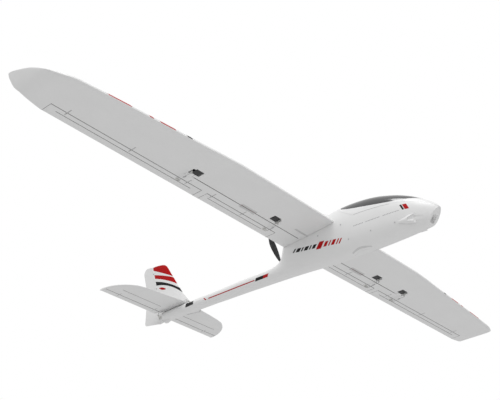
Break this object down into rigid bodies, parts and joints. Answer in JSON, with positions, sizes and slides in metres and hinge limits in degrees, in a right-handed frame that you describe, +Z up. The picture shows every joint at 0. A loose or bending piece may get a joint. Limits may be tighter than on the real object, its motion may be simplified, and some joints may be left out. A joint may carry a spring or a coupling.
{
  "type": "radio controlled sailplane",
  "caption": "Two metre electric motor glider: slim hollow fuselage with a pusher motor pylon, long foam wings with raised tips, low tailplane and raked fin.",
  "frame": {"origin": "middle of the model's box, on the surface the belly rests on", "axes": "+X to the nose, +Y to the port wing tip, +Z up"},
  "size_m": [1.1705, 2, 0.2747],
  "materials": {
    "fuselage_white": "smooth white moulded plastic, semi gloss",
    "wing_foam": "white moulded bead foam, satin",
    "dark_window": "smoked black, glossy",
    "carbon": "wrapped carbon tube",
    "white_nylon": "moulded white nylon",
    "servo_case": "black moulded case",
    "steel": "plain steel",
    "black_plastic": "black glass filled nylon",
    "alloy": "turned alloy",
    "copper_winding": "enamelled windings",
    "bell_black": "black anodised can",
    "plywood": "light plywood",
    "battery_wrap": "shrink wrapped pack",
    "strap": "woven hook and loop strap",
    "electronics": "shrink wrapped electronics",
    "lead": "flat three wire lead"
  },
  "bodies": {
    "airframe": {"fuselage_shell": "fuselage_white", "motor_pylon": "fuselage_white", "hatch_latch": "black_plastic", "hatch_magnets": "steel", "wing_right": "wing_foam", "wing_left": "wing_foam", "wing_spar_tube": "carbon", "wing_hinges": "white_nylon", "stabiliser": "wing_foam", "fin": "fuselage_white", "tail_hinges": "white_nylon", "servo_aileron_right": "servo_case", "servo_aileron_left": "servo_case", "servo_flap_right": "servo_case", "servo_flap_left": "servo_case", "servo_rudder": "servo_case", "servo_elevator": "servo_case", "motor_mount": "alloy", "motor_stator": "copper_winding", "motor_screws": "steel", "esc": "electronics", "battery_tray": "plywood", "battery": "battery_wrap", "battery_strap": "strap", "receiver": "electronics", "servo_leads": "lead", "body_screws": "steel", "tail_screws": "steel"},
    "aileron_right": {"aileron_right": "wing_foam", "horn_aileron_right": "white_nylon"},
    "arm_aileron_right": {"arm_aileron_right": "white_nylon"},
    "rod_aileron_right": {"rod_aileron_right": "steel"},
    "flap_right": {"flap_right": "wing_foam", "horn_flap_right": "white_nylon"},
    "arm_flap_right": {"arm_flap_right": "white_nylon"},
    "rod_flap_right": {"rod_flap_right": "steel"},
    "aileron_left": {"aileron_left": "wing_foam", "horn_aileron_left": "white_nylon"},
    "arm_aileron_left": {"arm_aileron_left": "white_nylon"},
    "rod_aileron_left": {"rod_aileron_left": "steel"},
    "flap_left": {"flap_left": "wing_foam", "horn_flap_left": "white_nylon"},
    "arm_flap_left": {"arm_flap_left": "white_nylon"},
    "rod_flap_left": {"rod_flap_left": "steel"},
    "elevator": {"elevator": "wing_foam", "elevator_joiner": "steel", "horn_elevator": "white_nylon"},
    "arm_elevator": {"arm_elevator": "white_nylon"},
    "rod_elevator": {"rod_elevator": "steel"},
    "rudder": {"rudder": "fuselage_white", "horn_rudder": "white_nylon"},
    "arm_rudder": {"arm_rudder": "white_nylon"},
    "rod_rudder": {"rod_rudder": "steel"},
    "hatch": {"canopy_hatch": "fuselage_white", "canopy_window": "dark_window"},
    "propeller": {"motor_bell": "bell_black", "prop_adapter": "alloy", "propeller": "black_plastic", "prop_nut": "alloy"}
  },
  "joints": [
    {"name": "aileron_right_hinge", "type": "hinge", "parent": "airframe", "child": "aileron_right", "pos_m": [0.0995, -0.49296, 0.11749], "axis": [0, 1, -0.0077], "range_deg": [-20, 20]},
    {"name": "servo_aileron_right_shaft", "type": "hinge", "parent": "airframe", "child": "arm_aileron_right", "pos_m": [0.1455, -0.49294, 0.12019], "axis": [0, 1, -0.0077], "range_deg": [-20, 20]},
    {"name": "rod_aileron_right_pin", "type": "hinge", "parent": "arm_aileron_right", "child": "rod_aileron_right", "pos_m": [0.1455, -0.49304, 0.10719], "axis": [0, 1, -0.0077], "range_deg": [-20, 20]},
    {"name": "flap_right_hinge", "type": "hinge", "parent": "airframe", "child": "flap_right", "pos_m": [0.0995, -0.14597, 0.11482], "axis": [0, 1, -0.0077], "range_deg": [-30, 0]},
    {"name": "servo_flap_right_shaft", "type": "hinge", "parent": "airframe", "child": "arm_flap_right", "pos_m": [0.1455, -0.14595, 0.11752], "axis": [0, 1, -0.0077], "range_deg": [-30, 0]},
    {"name": "rod_flap_right_pin", "type": "hinge", "parent": "arm_flap_right", "child": "rod_flap_right", "pos_m": [0.1455, -0.14605, 0.10452], "axis": [0, 1, -0.0077], "range_deg": [0, 30]},
    {"name": "aileron_left_hinge", "type": "hinge", "parent": "airframe", "child": "aileron_left", "pos_m": [0.0995, 0.49296, 0.11749], "axis": [0, 1, 0.0077], "range_deg": [-20, 20]},
    {"name": "servo_aileron_left_shaft", "type": "hinge", "parent": "airframe", "child": "arm_aileron_left", "pos_m": [0.1455, 0.49294, 0.12019], "axis": [0, 1, 0.0077], "range_deg": [-20, 20]},
    {"name": "rod_aileron_left_pin", "type": "hinge", "parent": "arm_aileron_left", "child": "rod_aileron_left", "pos_m": [0.1455, 0.49304, 0.10719], "axis": [0, 1, 0.0077], "range_deg": [-20, 20]},
    {"name": "flap_left_hinge", "type": "hinge", "parent": "airframe", "child": "flap_left", "pos_m": [0.0995, 0.34996, 0.11639], "axis": [0, 1, 0.0077], "range_deg": [-30, 0]},
    {"name": "servo_flap_left_shaft", "type": "hinge", "parent": "airframe", "child": "arm_flap_left", "pos_m": [0.1455, 0.34994, 0.11909], "axis": [0, 1, 0.0077], "range_deg": [-30, 0]},
    {"name": "rod_flap_left_pin", "type": "hinge", "parent": "arm_flap_left", "child": "rod_flap_left", "pos_m": [0.1455, 0.35004, 0.10609], "axis": [0, 1, 0.0077], "range_deg": [0, 30]},
    {"name": "elevator_hinge", "type": "hinge", "parent": "airframe", "child": "elevator", "pos_m": [-0.4805, 0, 0.0796], "axis": [0, 1, 0], "range_deg": [-20, 20]},
    {"name": "servo_elevator_shaft", "type": "hinge", "parent": "airframe", "child": "arm_elevator", "pos_m": [-0.3305, 0.024, 0.0582], "axis": [0, 1, 0], "range_deg": [-20, 20]},
    {"name": "rod_elevator_pin", "type": "hinge", "parent": "arm_elevator", "child": "rod_elevator", "pos_m": [-0.3305, 0.024, 0.0452], "axis": [0, 1, 0], "range_deg": [-20, 20]},
    {"name": "rudder_hinge", "type": "hinge", "parent": "airframe", "child": "rudder", "pos_m": [-0.4755, 0, 0.0442], "axis": [-0.2823, 0, 0.9593], "range_deg": [-25, 25]},
    {"name": "servo_rudder_shaft", "type": "hinge", "parent": "airframe", "child": "arm_rudder", "pos_m": [-0.3375, -0.011, 0.0653], "axis": [0, 0, 1], "range_deg": [-25, 25]},
    {"name": "rod_rudder_pin", "type": "hinge", "parent": "arm_rudder", "child": "rod_rudder", "pos_m": [-0.3375, -0.031, 0.0653], "axis": [0, 0, 1], "range_deg": [-25, 25]},
    {"name": "hatch_lift", "type": "slide", "parent": "airframe", "child": "hatch", "axis": [0, 0, 1], "range_m": [0, 0.08]},
    {"name": "propeller_spin", "type": "hinge", "parent": "airframe", "child": "propeller", "pos_m": [-0.0135, 0, 0.1922], "axis": [1, 0, 0], "continuous": true}
  ],
  "couplings": [
    {"joint": "servo_aileron_right_shaft", "follows": "aileron_right_hinge", "ratio": 1},
    {"joint": "rod_aileron_right_pin", "follows": "aileron_right_hinge", "ratio": -1},
    {"joint": "servo_flap_right_shaft", "follows": "flap_right_hinge", "ratio": 1},
    {"joint": "rod_flap_right_pin", "follows": "flap_right_hinge", "ratio": -1},
    {"joint": "aileron_left_hinge", "follows": "aileron_right_hinge", "ratio": -1},
    {"joint": "servo_aileron_left_shaft", "follows": "aileron_right_hinge", "ratio": -1},
    {"joint": "rod_aileron_left_pin", "follows": "aileron_right_hinge", "ratio": 1},
    {"joint": "flap_left_hinge", "follows": "flap_right_hinge", "ratio": 1},
    {"joint": "servo_flap_left_shaft", "follows": "flap_right_hinge", "ratio": 1},
    {"joint": "rod_flap_left_pin", "follows": "flap_right_hinge", "ratio": -1},
    {"joint": "servo_elevator_shaft", "follows": "elevator_hinge", "ratio": 1},
    {"joint": "rod_elevator_pin", "follows": "elevator_hinge", "ratio": -1},
    {"joint": "servo_rudder_shaft", "follows": "rudder_hinge", "ratio": 1},
    {"joint": "rod_rudder_pin", "follows": "rudder_hinge", "ratio": -1}
  ]
}
